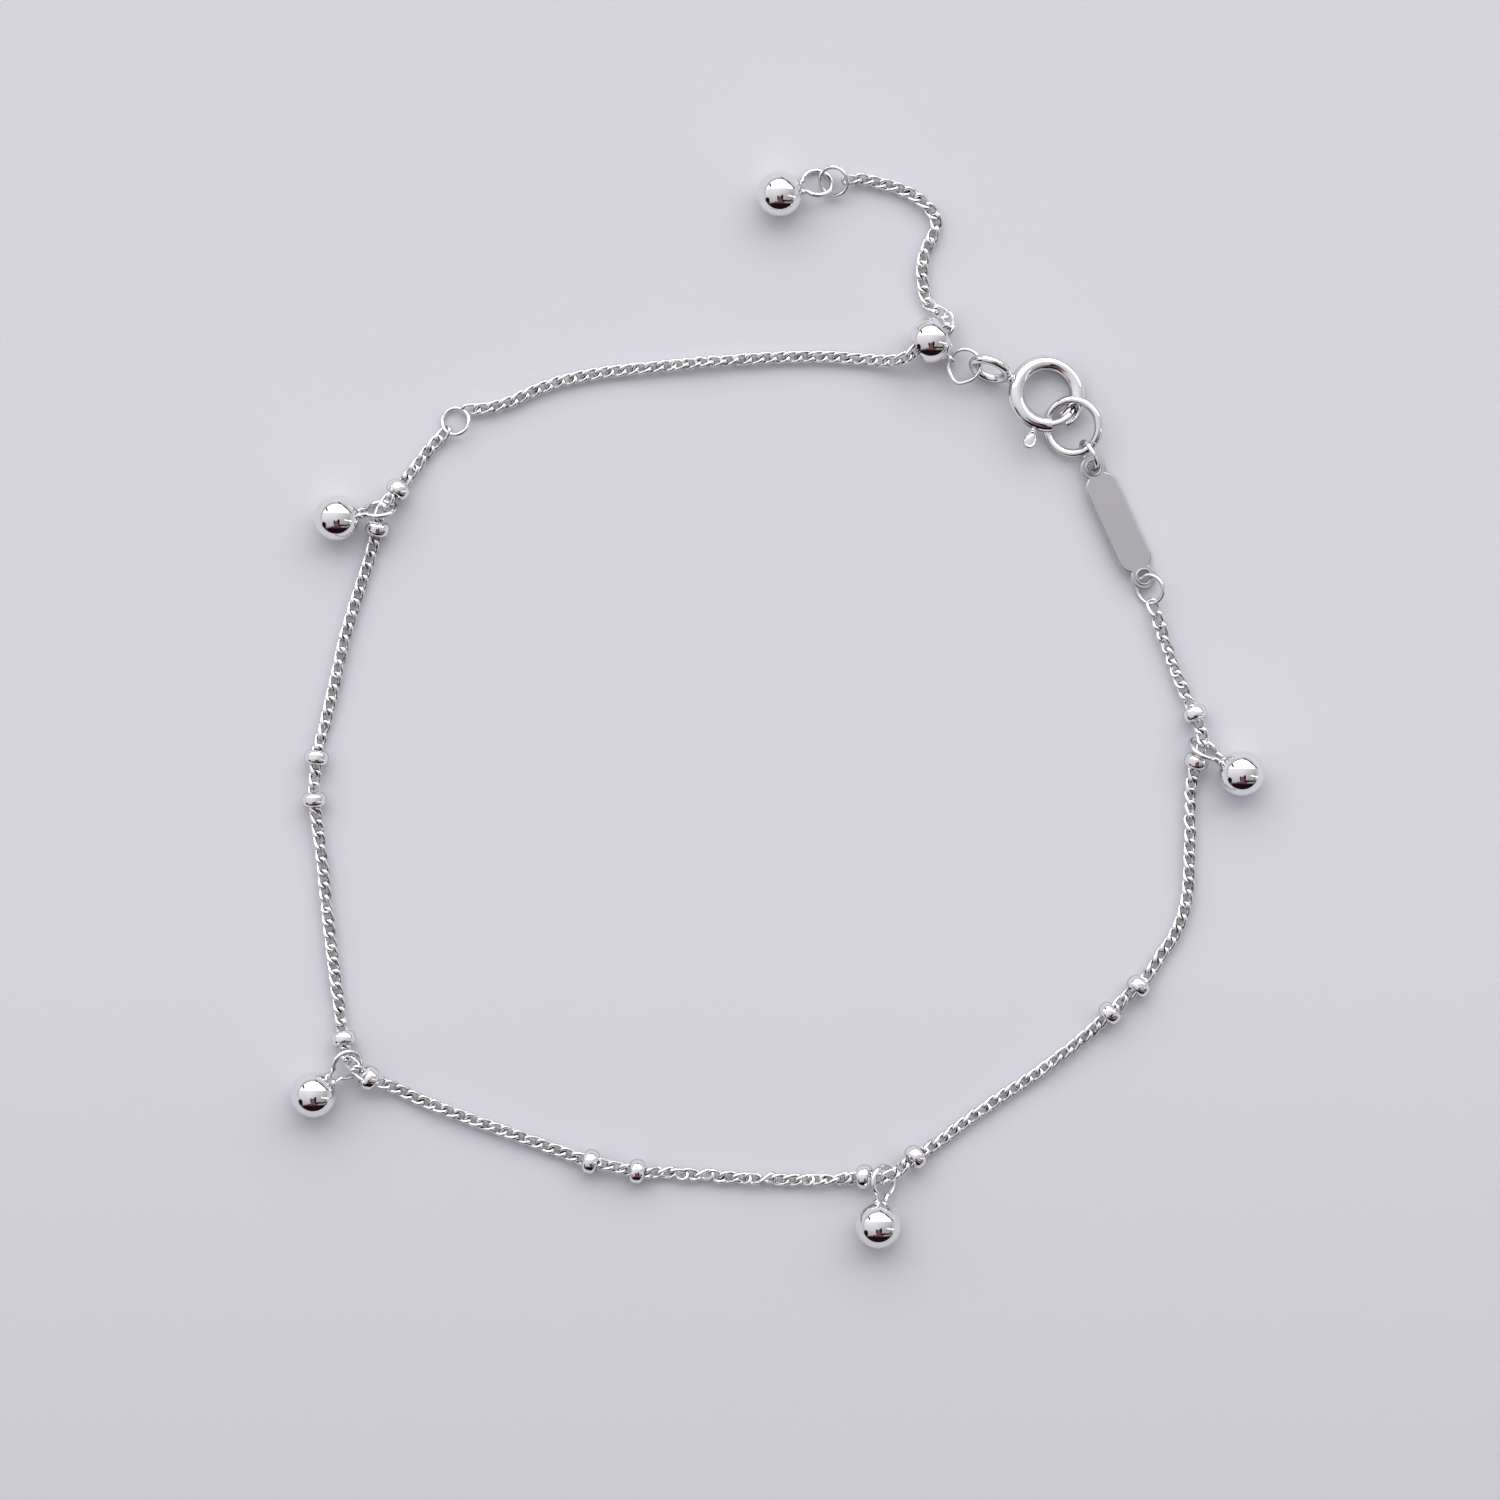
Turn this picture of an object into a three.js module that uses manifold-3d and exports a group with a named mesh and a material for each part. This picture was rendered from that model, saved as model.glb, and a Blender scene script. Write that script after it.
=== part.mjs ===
// Silver dangle bracelet lying closed on a flat surface, +Z up, millimetres.
// The origin is the middle of the lying bracelet, on the surface under it.
import * as THREE from 'three';
import { mergeVertices } from 'three/addons/utils/BufferGeometryUtils.js';
import Module from 'manifold-3d';

// Driving dimensions
const CHAIN_R = 0.45; // the curb chain as a round tube, links about 1.0 wide and 0.55 thick
const THREADED_R = 0.37; // the chain where it runs through beads, loops and the slider
const BEAD_R = 0.82;
const BEAD_HALF = 0.48;
const BALL_R = 1.5;
const CHARM_REACH = 2.93; // ball centre to loop centre
const TAIL_REACH = 2.7;
const LOOP_R = 0.98; // centreline of a charm's loop
const LOOP_WIRE = 0.17;
const RING_WIRE = 0.14; // small jump rings
const SLIDER_R = 1.5;
const SLIDER_FLAT = 1.05; // the slider's flat ends, from its middle
const SLIDER_HEADING = 31; // the way its bore points in plan
const SLIDER_BORE = 0.62;
const EYELET_R = 0.37;
const EYELET_WIRE = 0.13;
const CLASP_R = 2.04; // centreline of the spring ring
const CLASP_TUBE = 0.52;
const CLASP_BORE = 0.33;
const TUBE_SPAN = [-3.5, 276]; // angles about the clasp's middle, in degrees
const BORE_SPAN = [166, 281];
const SLOT_SPAN = [182, 255.5];
const TROUGH_SPAN = [-57, -2];
const TROUGH_RIM = -0.14; // height of the trough's rims
const TONGUE_R = 0.25;
const TONGUE_SPAN = [-132, -44];
const LUG_AT = -110.8;
const LUG_REACH = 3.28;
const TAB_AT = 157.4;
const TAB_RAISED = -75;
const TAB_R = 1.15;
const TAB_WIRE = 0.3;
const END_RING_R = 1.76;
const END_RING_WIRE = 0.275;
const TAG_HOLE_X = 3.95;
const TAG_HOLE_R = 0.42;
const TAG_TAB_R = 0.86;
const TAG_HALF = 1.13;
const TAG_SHEET = 0.25;

// Finishes
const CHAIN_SILVER = { color: 0xc9c9cf, roughness: 0.25 };
const BEAD_SILVER = { color: 0xdcdce2, roughness: 0.12 };
const BALL_SILVER = { color: 0xdedee4, roughness: 0.08 };
const WIRE_SILVER = { color: 0xd4d4da, roughness: 0.15 };
const CLASP_SILVER = { color: 0xd8d8de, roughness: 0.1 };
const SATIN_SILVER = { color: 0xa6a8a6, roughness: 0.35 };

const rad = THREE.MathUtils.degToRad;
const wasm = await Module();
wasm.setup();

// A closed geometry as a solid, ready to be joined or cut
function solid(geometry, matrix = new THREE.Matrix4()) {
  const bare = geometry.clone();
  bare.deleteAttribute('normal');
  bare.deleteAttribute('uv');
  bare.applyMatrix4(matrix);
  const merged = mergeVertices(bare, 1e-5);
  return new wasm.Manifold(new wasm.Mesh({
    numProp: 3,
    vertProperties: new Float32Array(merged.attributes.position.array),
    triVerts: new Uint32Array(merged.index.array),
  }));
}

function geometryOf(body) {
  const mesh = body.getMesh();
  const geometry = new THREE.BufferGeometry();
  geometry.setAttribute('position', new THREE.BufferAttribute(mesh.vertProperties, 3));
  geometry.setIndex(new THREE.BufferAttribute(mesh.triVerts, 1));
  geometry.computeVertexNormals();
  return geometry;
}

function polygon(radius, sides) {
  const corners = Array.from({ length: sides }, (_, i) => {
    const angle = (2 * Math.PI * (i + 0.5)) / sides;
    return new THREE.Vector2(radius * Math.cos(angle), radius * Math.sin(angle));
  });
  return new THREE.Shape(corners);
}

function tube(points, radius, sides, steps) {
  const extrudePath = new THREE.CatmullRomCurve3(points);
  return new THREE.ExtrudeGeometry(polygon(radius, sides), { steps, extrudePath });
}

// A route lists [x, y] on the surface, or [x, y, z] where the chain is lifted off it
function routePoints(route) {
  return route.map(([x, y, z = CHAIN_R]) => new THREE.Vector3(x, y, z));
}

function arcPoints(radius, from, to, count) {
  return Array.from({ length: count + 1 }, (_, i) => {
    const angle = rad(from + ((to - from) * i) / count);
    return new THREE.Vector3(radius * Math.cos(angle), radius * Math.sin(angle), 0);
  });
}

// A flat band between two radii and two angles, as thick as the two heights say
function band(inner, outer, from, to, low, high) {
  const shape = new THREE.Shape();
  shape.absarc(0, 0, outer, rad(from), rad(to), false);
  shape.absarc(0, 0, inner, rad(to), rad(from), true);
  const geometry = new THREE.ExtrudeGeometry(shape, {
    depth: high - low, bevelEnabled: false, curveSegments: 12,
  });
  return geometry.translate(0, 0, low);
}

const bracelet = new THREE.Group();

function addPiece(name, geometry, finish) {
  const material = new THREE.MeshStandardMaterial({ ...finish, metalness: 1 });
  const mesh = new THREE.Mesh(geometry, material);
  mesh.name = name;
  bracelet.add(mesh);
  return mesh;
}

// Heading is the way the piece points in plan; it dips along that way, and its left side is raised
function orient(mesh, position, heading, dip, raise) {
  mesh.position.set(...position);
  mesh.rotation.set(rad(raise), rad(dip), rad(heading), 'ZYX');
}

// Leans a flat piece so that it goes down along the heading, without turning it in plan
function lean(mesh, position, heading, dip) {
  mesh.position.set(...position);
  const axis = new THREE.Vector3(-Math.sin(rad(heading)), Math.cos(rad(heading)), 0);
  mesh.quaternion.setFromAxisAngle(axis, rad(dip));
}

// Chain: plain stretches between the bead pairs, from the tag round to the extender ring
const STRETCHES = {
  chain_1: [[24.7, 6.42], [25.15, 5.3], [25.72, 3.6], [26.38, 1.8], [26.98, 0.42, 0.62]],
  chain_2: [[27.32, -4.6, 0.68], [27.18, -5.4, 0.5], [27.12, -7], [27.08, -9.5], [27.0, -11.8],
    [26.72, -13.4], [26.1, -15], [25.2, -16.35], [24.5, -17.45, 0.6]],
  chain_3: [[21.05, -20.95, 0.62], [20.3, -21.62], [18.7, -22.9], [16.6, -24.45], [14.3, -25.95],
    [12, -27.6], [10.35, -28.83, 0.55]],
  chain_4: [[4.75, -31.05, 0.55], [3.8, -31.1], [1, -31.15], [-2, -31.05], [-5, -30.82],
    [-7.2, -30.7], [-8.2, -30.66, 0.6]],
  chain_5: [[-13.3, -29.62, 0.58], [-14.2, -29.3], [-17, -28.28], [-20, -27.22], [-23, -26.08],
    [-25, -25.16, 0.5], [-25.74, -24.86, 0.65]],
  chain_6: [[-28.66, -20.9, 0.6], [-28.78, -20], [-29.06, -18], [-29.44, -15], [-29.76, -12],
    [-30.02, -9.5], [-30.28, -7.6, 0.58]],
  chain_7: [[-30.08, -2.3, 0.58], [-29.82, -1.4], [-29.2, 1.2], [-28.4, 4.7], [-27.45, 7.8],
    [-26.82, 9.75, 0.5], [-26.6, 10.55, 0.6]],
  chain_8: [[-24.2, 15.2, 0.62], [-23.6, 15.95, 0.48], [-22.8, 17], [-21.98, 17.86]],
};
const chainSteps = {
  chain_1: 4, chain_2: 7, chain_3: 7, chain_4: 6, chain_5: 6, chain_6: 6, chain_7: 7, chain_8: 3,
};
for (const [name, route] of Object.entries(STRETCHES)) {
  addPiece(name, tube(routePoints(route), CHAIN_R, 8, chainSteps[name]), CHAIN_SILVER);
}

// Bead pairs: two small beads on a short stretch of chain; a charm's loop hangs between some
const beadProfile = [
  [0, -BEAD_HALF], [0.52, -BEAD_HALF], [BEAD_R, -0.16], [BEAD_R, 0.16], [0.52, BEAD_HALF],
  [0, BEAD_HALF],
].map(([r, y]) => new THREE.Vector2(r, y));

function beadPair(route, firstBead, secondBead) {
  const points = routePoints(route);
  let body = solid(tube(points, THREADED_R, 8, 5));
  for (const index of [firstBead, secondBead]) {
    const along = points[index + 1].clone().sub(points[index - 1]).normalize();
    const turn = new THREE.Quaternion().setFromUnitVectors(new THREE.Vector3(0, 1, 0), along);
    const matrix = new THREE.Matrix4().compose(points[index], turn, new THREE.Vector3(1, 1, 1));
    body = body.add(solid(new THREE.LatheGeometry(beadProfile, 10), matrix));
  }
  return geometryOf(body);
}

const PAIRS = {
  beads_1: [[27.04, 0.3, 0.66], [27.42, -0.52, 0.83], [27.7, -1.3, 0.96], [27.88, -2, 1.1],
    [27.84, -2.75, 1.06], [27.52, -3.62, 0.88], [27.34, -4.48, 0.7]],
  beads_2: [[24.42, -17.56, 0.62], [23.72, -18.4, 0.83], [23.1, -18.95, 0.78], [22.5, -19.5, 0.78],
    [21.85, -20.16, 0.83], [21.14, -20.86, 0.64]],
  beads_3: [[10.24, -28.92, 0.58], [9.05, -29.62, 0.9], [8.3, -30.18, 1.18], [7.55, -30.74, 1.32],
    [6.7, -31.05, 1.12], [5.72, -30.92, 0.85], [4.88, -31.03, 0.58]],
  beads_4: [[-8.34, -30.66, 0.62], [-9.25, -30.56, 0.83], [-10.2, -30.38, 0.76],
    [-11.3, -30.14, 0.76], [-12.28, -29.92, 0.83], [-13.18, -29.68, 0.6]],
  beads_5: [[-25.88, -24.84, 0.67], [-26.86, -24.42, 1.12], [-27.4, -24.04, 1.44],
    [-27.9, -23.5, 1.34], [-28.26, -22.96, 1.02], [-28.5, -21.88, 0.84], [-28.63, -21, 0.62]],
  beads_6: [[-30.3, -7.48, 0.6], [-30.45, -6.16, 0.83], [-30.42, -4.8, 0.7], [-30.28, -3.4, 0.83],
    [-30.11, -2.42, 0.6]],
  beads_7: [[-26.57, 10.67, 0.62], [-26.28, 11.68, 0.86], [-26.16, 12.35, 1.04],
    [-25.96, 12.95, 1.18], [-25.56, 13.55, 1.14], [-24.92, 14.2, 0.95], [-24.27, 15.1, 0.64]],
};
const beadPlaces = { beads_2: [1, 4], beads_4: [1, 4], beads_6: [1, 3] };
for (const [name, route] of Object.entries(PAIRS)) {
  const [first, second] = beadPlaces[name] ?? [1, 5];
  addPiece(name, beadPair(route, first, second), BEAD_SILVER);
}

// Charms: a polished ball with a wire loop soldered to it by both ends
function charm(reach) {
  const ball = solid(new THREE.SphereGeometry(BALL_R, 16, 8));
  const foot = BALL_R - 0.12;
  const ring = arcPoints(LOOP_R, -154, 154, 11).map((p) => p.add(new THREE.Vector3(reach, 0, 0)));
  const wire = [new THREE.Vector3(foot, -0.3, 0), ...ring, new THREE.Vector3(foot, 0.3, 0)];
  const solder = new THREE.SphereGeometry(1, 6, 4).scale(0.26, 0.5, 0.24).translate(foot + 0.2, 0, 0);
  return geometryOf(ball.add(solid(tube(wire, LOOP_WIRE, 6, 16))).add(solid(solder)));
}

const CHARMS = {
  charm_1: [[-28.92, 12.34, BALL_R], 11.8, 9.5, -60],
  charm_2: [[-30.45, -25.51, BALL_R], 41.6, 4, 36],
  charm_3: [[6.61, -34.1, BALL_R], 83, 8, 44],
  charm_4: [[30.45, -4.42, BALL_R], 146.4, 9.5, 59.5],
};
for (const [name, place] of Object.entries(CHARMS)) {
  orient(addPiece(name, charm(CHARM_REACH), BALL_SILVER), ...place);
}
orient(addPiece('tail_charm', charm(TAIL_REACH), BALL_SILVER),
  [0.14, 33.61, BALL_R], 17.4, 17.5, -27);

// Jump rings
function ring(radius, wire) {
  return new THREE.TorusGeometry(radius, wire, 8, 16);
}
lean(addPiece('tail_ring', ring(0.96, RING_WIRE), WIRE_SILVER), [3.7, 34.48, 0.82], -135, 28);
lean(addPiece('extender_ring', ring(0.9, RING_WIRE), WIRE_SILVER), [-21.16, 18.72, 0.5], 135, 18);
lean(addPiece('slider_ring', ring(1.08, EYELET_WIRE), WIRE_SILVER), [12.27, 22.36, 0.92], 163, 15);
lean(addPiece('tag_ring_low', ring(0.95, 0.135), WIRE_SILVER), [24.48, 7.68, 0.64], 202, 31);
lean(addPiece('tag_ring_high', ring(0.99, 0.15), WIRE_SILVER), [20.45, 16.44, 1.1], 205, 75);

// End ring: the heavier ring that the clasp holds
lean(addPiece('end_ring', new THREE.TorusGeometry(END_RING_R, END_RING_WIRE, 8, 22), WIRE_SILVER),
  [19.39, 18.36, 0.86], 198, 16.6);

// Tag: a satin plate with an eye at each end
function tagGeometry() {
  const shape = new THREE.Shape();
  for (const side of [1, -1]) {
    const turn = side > 0 ? 0 : 180;
    shape.absarc(side * TAG_HOLE_X, 0, TAG_TAB_R, rad(turn - 132), rad(turn + 132), false);
    shape.quadraticCurveTo(side * 3.1, side * TAG_HALF, side * 2.5, side * TAG_HALF);
    shape.lineTo(-side * 2.5, side * TAG_HALF);
    shape.quadraticCurveTo(-side * 3.1, side * TAG_HALF, -side * 3.38, side * 0.64);
    const hole = new THREE.Path();
    hole.absarc(side * TAG_HOLE_X, 0, TAG_HOLE_R, 0, 2 * Math.PI, true);
    shape.holes.push(hole);
  }
  const geometry = new THREE.ExtrudeGeometry(shape, {
    depth: TAG_SHEET, bevelEnabled: false, curveSegments: 7,
  });
  return geometry.translate(0, 0, -TAG_SHEET / 2);
}
orient(addPiece('tag', tagGeometry(), SATIN_SILVER), [22.39, 12.07, 0.58], -65.2, 0, -14);

// Slider: a bored ball that rides on the chain, with an eyelet soldered to its side
function sliderGeometry() {
  const along = new THREE.Matrix4().makeRotationZ(rad(SLIDER_HEADING));
  let body = solid(new THREE.SphereGeometry(SLIDER_R, 16, 9));
  const bore = new THREE.CylinderGeometry(SLIDER_BORE, SLIDER_BORE, 4, 10).rotateZ(Math.PI / 2);
  body = body.subtract(solid(bore, along));
  for (const side of [1, -1]) {
    const block = new THREE.BoxGeometry(1, 3, 3).translate(side * (SLIDER_FLAT + 0.5), 0, 0);
    body = body.subtract(solid(block, along));
  }
  const hang = new THREE.Matrix4().makeRotationFromEuler(new THREE.Euler(0, rad(26), rad(-42), 'ZYX'));
  const solder = new THREE.SphereGeometry(0.2, 6, 4).translate(SLIDER_R, 0, 0);
  const eyelet = new THREE.TorusGeometry(EYELET_R, EYELET_WIRE, 6, 12).rotateX(Math.PI / 2);
  eyelet.translate(SLIDER_R + EYELET_R + 0.06, 0, 0);
  return geometryOf(body.add(solid(solder, hang)).add(solid(eyelet, hang)));
}
addPiece('slider', sliderGeometry(), BALL_SILVER).position.set(10.05, 24, SLIDER_R);

// Slide chain: from the extender ring through the slider, then the loose tail up to its ring
const SLIDE = [[-20.14, 19.52], [-19, 19.62], [-17.6, 20], [-15, 21.12], [-12, 21.85], [-8, 22.3],
  [-4, 22.68], [0, 22.92], [3, 22.98], [5.6, 22.8, 0.48], [7.3, 22.68, 0.74], [8.28, 22.84, 1.12]];
addPiece('slide_chain', tube(routePoints(SLIDE), CHAIN_R, 8, 15), CHAIN_SILVER);
const THROUGH = [[8.44, 22.92, 1.2], [8.85, 23.18, 1.4], [9.3, 23.52, 1.5], [10.05, 24, 1.5],
  [10.9, 24.51, 1.5], [11.17, 24.82, 1.4], [11.22, 25.25, 1.16], [11.04, 25.64, 0.9]];
addPiece('slider_chain', tube(routePoints(THROUGH), THREADED_R, 8, 12), CHAIN_SILVER);
const TAIL_LOW = [[10.86, 25.84, 0.79], [10.32, 26.1, 0.6], [9.88, 26.55, 0.46], [9.64, 27.3],
  [9.5, 28.4], [9.52, 29.2], [9.8, 30.1], [10.2, 30.9]];
addPiece('tail_chain_1', tube(routePoints(TAIL_LOW), CHAIN_R, 8, 8), CHAIN_SILVER);
const TAIL_HIGH = [[10.25, 31.02], [10.42, 31.7], [10.15, 32.5], [9.55, 33.12], [8.6, 33.76],
  [7.4, 34.22], [6.3, 34.5], [5.5, 34.66], [4.9, 34.6]];
addPiece('tail_chain_2', tube(routePoints(TAIL_HIGH), CHAIN_R, 8, 8), CHAIN_SILVER);

// Clasp body: a hollow C of tube slotted for the lug, a trough for the tongue, and the tab ring
function claspBody() {
  let body = solid(tube(arcPoints(CLASP_R, ...TUBE_SPAN, 28), CLASP_TUBE, 10, 22));
  body = body.subtract(solid(tube(arcPoints(CLASP_R, ...BORE_SPAN, 12), CLASP_BORE, 8, 12)));
  body = body.subtract(solid(band(CLASP_R + 0.1, 3, ...SLOT_SPAN, -0.22, 0.22)));
  const hollow = [TROUGH_SPAN[0] - 5, TROUGH_SPAN[1] - 2];
  let trough = solid(tube(arcPoints(CLASP_R, ...TROUGH_SPAN, 6), CLASP_TUBE - 0.02, 10, 6));
  trough = trough.subtract(solid(tube(arcPoints(CLASP_R, ...hollow, 6), 0.36, 8, 6)));
  trough = trough.subtract(solid(band(1.2, 3, ...hollow, TROUGH_RIM, 0.8)));
  const tabFrame = new THREE.Matrix4().makeRotationX(rad(TAB_RAISED));
  tabFrame.setPosition(CLASP_R + CLASP_TUBE + TAB_R + TAB_WIRE + 0.1, 0, 0);
  let tab = solid(new THREE.TorusGeometry(TAB_R, TAB_WIRE, 8, 16), tabFrame);
  const solder = new THREE.SphereGeometry(1, 8, 6).scale(0.34, 0.42, 0.34);
  tab = tab.add(solid(solder.translate(CLASP_R + CLASP_TUBE + 0.08, 0, 0)));
  return geometryOf(body.add(trough).add(tab.rotate([0, 0, TAB_AT])));
}
const CLASP_PLACE = [[17.7, 20.51, 0.97], 38, 11.8];
lean(addPiece('clasp_body', claspBody(), CLASP_SILVER), ...CLASP_PLACE);

// Clasp tongue: the sprung arc that closes the gap, drawn back by its lug
function claspTongue() {
  let body = solid(tube(arcPoints(CLASP_R, ...TONGUE_SPAN, 9), TONGUE_R, 8, 9));
  const neck = new THREE.BoxGeometry(0.75, 0.34, 0.3).translate(CLASP_R + 0.37, 0, 0);
  const lug = new THREE.SphereGeometry(1, 12, 8).scale(0.66, 0.4, 0.26).translate(LUG_REACH, 0, 0);
  body = body.add(solid(neck).add(solid(lug)).rotate([0, 0, LUG_AT]));
  return geometryOf(body);
}
lean(addPiece('clasp_tongue', claspTongue(), CLASP_SILVER), ...CLASP_PLACE);

export default bracelet;
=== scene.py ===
from math import asin, copysign, cos, pi, radians, sin
from random import Random

import bmesh
import bpy
from mathutils import Matrix, Vector, noise


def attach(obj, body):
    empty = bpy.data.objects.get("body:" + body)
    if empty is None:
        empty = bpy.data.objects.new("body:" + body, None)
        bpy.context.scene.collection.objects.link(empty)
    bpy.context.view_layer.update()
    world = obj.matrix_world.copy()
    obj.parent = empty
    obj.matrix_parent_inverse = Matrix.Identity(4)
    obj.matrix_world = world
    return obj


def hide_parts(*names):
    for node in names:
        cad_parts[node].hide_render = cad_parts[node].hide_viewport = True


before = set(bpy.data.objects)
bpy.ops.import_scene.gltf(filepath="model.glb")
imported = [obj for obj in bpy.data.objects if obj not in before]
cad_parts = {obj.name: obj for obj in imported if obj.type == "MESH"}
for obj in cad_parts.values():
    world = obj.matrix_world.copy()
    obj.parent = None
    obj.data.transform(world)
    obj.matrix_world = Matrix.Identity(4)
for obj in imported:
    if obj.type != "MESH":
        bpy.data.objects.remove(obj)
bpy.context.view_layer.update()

# --- Tag ---------------------------------------------------------------------------
# A thin stamped plate of satin silver with a painted highlight at its edges and an eye at each end.
# Each eye is punched through and its rim is raised a little. The plate lies slightly rolled
# on its long axis.
MM = 0.001
TAG_PLACE = ((22.39, 12.07, 0.58), -65.2, 0, -14)
TAG_HOLE_X = 3.95
TAG_HOLE_R = 0.42
TAG_EYE_R = 0.86
TAG_HALF = 1.13
TAG_BODY_X = 2.5
TAG_WAIST_X = 3.1
TAG_SHEET = 0.25
TAG_EDGE = 0.1
EYE_RIM = 0.09
EYE_RIM_SUNK = 0.02
SMALL_FACE = 1e-7
# Where the painted light attribute turns the colour from painted shade to painted highlight.
PAINTED_LIGHTING_FROM = 0.36
PAINTED_LIGHTING_SOFT = 0.32


class Value:
    """A shader output of one node tree. Arithmetic on it adds Math nodes to that tree."""

    def __init__(self, tree, output=None):
        self.tree = tree
        self.output = output

    def node(self, kind, settings=None, inputs=None, output=0):
        made = self.tree.nodes.new(kind)
        for name, setting in (settings or {}).items():
            setattr(made, name, setting)
        for key, value in (inputs or {}).items():
            if isinstance(value, Value):
                self.tree.links.new(value.output, made.inputs[key])
            else:
                made.inputs[key].default_value = value
        return Value(self.tree, made.outputs[output])

    def math(self, operation, *values, clamp=False):
        settings = {"operation": operation, "use_clamp": clamp}
        return self.node("ShaderNodeMath", settings, dict(enumerate(values)))

    def __add__(self, other):
        return self.math("ADD", self, other)

    def __sub__(self, other):
        return self.math("SUBTRACT", self, other)

    def __rsub__(self, other):
        return self.math("SUBTRACT", other, self)

    def __mul__(self, other):
        return self.math("MULTIPLY", self, other)

    __radd__ = __add__
    __rmul__ = __mul__

    def __truediv__(self, other):
        return self.math("DIVIDE", self, other)

    def above(self, edge, soft):
        """0 where the value is under the edge, 1 over it, with a soft step between."""
        return self.math("MULTIPLY_ADD", self - edge, 1 / soft, 0.5, clamp=True)

    def mix(self, low, high):
        """The colour low where the value is 0, and high where it is 1."""
        return self.node("ShaderNodeMix", {"data_type": "RGBA"}, {0: self, 6: low, 7: high}, 2)

    def feed(self, socket):
        self.tree.links.new(self.output, socket)


def silver(name, dull, bright, roughness, grain, depth, turn=0.0, stretch=1.0, painted_lighting=False):
    """Solid silver with fine scratches. It is painted lighter and darker, as painted highlight and
    shade, where the piece's attribute says, or else it is brighter in patches of about half a millimetre."""
    material = bpy.data.materials.new(name)
    material.use_nodes = True
    finish = material.node_tree.nodes["Principled BSDF"]
    finish.inputs["Metallic"].default_value = 1.0
    start = Value(material.node_tree)
    place = start.node("ShaderNodeTexCoord", output="Object")
    along = start.node("ShaderNodeMapping", {}, {
        "Vector": place, "Rotation": (0, 0, -turn), "Scale": (1 / stretch, 1, 1),
    })
    scratch = start.node("ShaderNodeTexNoise", {}, {"Vector": along, "Scale": grain, "Detail": 4.0})
    if painted_lighting:
        # Painted light and shade: the attribute takes the base colour from dull to bright.
        painted_lighting_map = start.node("ShaderNodeAttribute", {"attribute_name": "painted_lighting"}, output=2)
        shine = painted_lighting_map.above(PAINTED_LIGHTING_FROM, PAINTED_LIGHTING_SOFT)
    else:
        patches = start.node(
            "ShaderNodeTexNoise", {}, {"Vector": place, "Scale": 1800.0, "Detail": 3.0}
        )
        shine = patches.above(0.5, 0.35)
    shine.mix((*dull, 1), (*bright, 1)).feed(finish.inputs["Base Color"])
    worn = roughness[1] - roughness[0]
    (roughness[0] + worn * shine + 0.04 * scratch).feed(finish.inputs["Roughness"])
    relief = start.node("ShaderNodeBump", {}, {"Strength": 1.0, "Distance": depth, "Height": scratch})
    relief.feed(finish.inputs["Normal"])
    return material


def lying(position, heading, dip, raised=0.0):
    """The piece points along the heading and dips that way, with its left side raised."""
    turn = Matrix.Rotation(radians(heading), 4, "Z") @ Matrix.Rotation(radians(dip), 4, "Y")
    turn = turn @ Matrix.Rotation(radians(raised), 4, "X")
    return Matrix.Scale(MM, 4) @ Matrix.Translation(position) @ turn


def finished(shape, name, matrix, material, node, sharp=40):
    """Puts a shape in its place and gives it its finish, its body and the node it stands for.
    Unless the shape has its own painted light and shade, it is painted lighter where it faces up or
    down as it lies and painted shade on its sides."""
    mesh = bpy.data.meshes.new(name)
    shape.to_mesh(mesh)
    shape.free()
    mesh.transform(matrix)
    # Painted light and shade: bright where the surface faces up or down, dark where it faces sideways.
    if "painted_lighting" not in mesh.attributes:
        slope = [abs(corner.normal.z) for corner in mesh.vertices]
        mesh.attributes.new("painted_lighting", "FLOAT", "POINT").data.foreach_set("value", slope)
    mesh.materials.append(material)
    mesh.shade_smooth()
    if sharp:
        mesh.set_sharp_from_angle(angle=radians(sharp))
    piece = bpy.data.objects.new(name, mesh)
    bpy.context.scene.collection.objects.link(piece)
    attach(piece, "tongue" if node == "clasp_tongue" else "bracelet")
    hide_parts(node)
    return piece


def arc(middle, radius, start, end, count):
    angles = [radians(start + (end - start) * i / count) for i in range(count + 1)]
    return [(middle + radius * cos(a), radius * sin(a)) for a in angles]


def tag_outline():
    """One end's shoulders and eye, then the same again turned half round."""
    eye = arc(TAG_HOLE_X, TAG_EYE_R, -132, 132, 44)
    waist_x, waist_y = eye[-1]
    shoulder = []
    for step in range(1, 9):
        t = step / 8
        x = (1 - t) ** 2 * waist_x + 2 * t * (1 - t) * TAG_WAIST_X + t * t * TAG_BODY_X
        y = (1 - t) ** 2 * waist_y + 2 * t * (1 - t) * TAG_HALF + t * t * TAG_HALF
        shoulder.append((x, y))
    end = [(x, -y) for x, y in reversed(shoulder)] + eye + shoulder
    return end + [(-x, -y) for x, y in end]


def flat_plate(loops, sheet, edge):
    """A flat curve filled between its loops and thickened, with rounded edges."""
    curve = bpy.data.curves.new("plate", "CURVE")
    curve.dimensions = "2D"
    curve.fill_mode = "BOTH"
    curve.extrude = sheet / 2 - edge
    curve.bevel_depth = edge
    curve.bevel_resolution = 3
    curve.offset = -edge
    for loop in loops:
        spline = curve.splines.new("POLY")
        spline.points.add(len(loop) - 1)
        for point, (x, y) in zip(spline.points, loop):
            point.co = (x, y, 0, 1)
        spline.use_cyclic_u = True
    holder = bpy.data.objects.new("plate", curve)
    bpy.context.scene.collection.objects.link(holder)
    graph = bpy.context.evaluated_depsgraph_get()
    shape = bmesh.new()
    shape.from_mesh(holder.evaluated_get(graph).to_mesh())
    bpy.data.objects.remove(holder)
    bmesh.ops.remove_doubles(shape, verts=shape.verts, dist=0.001)
    return shape


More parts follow.
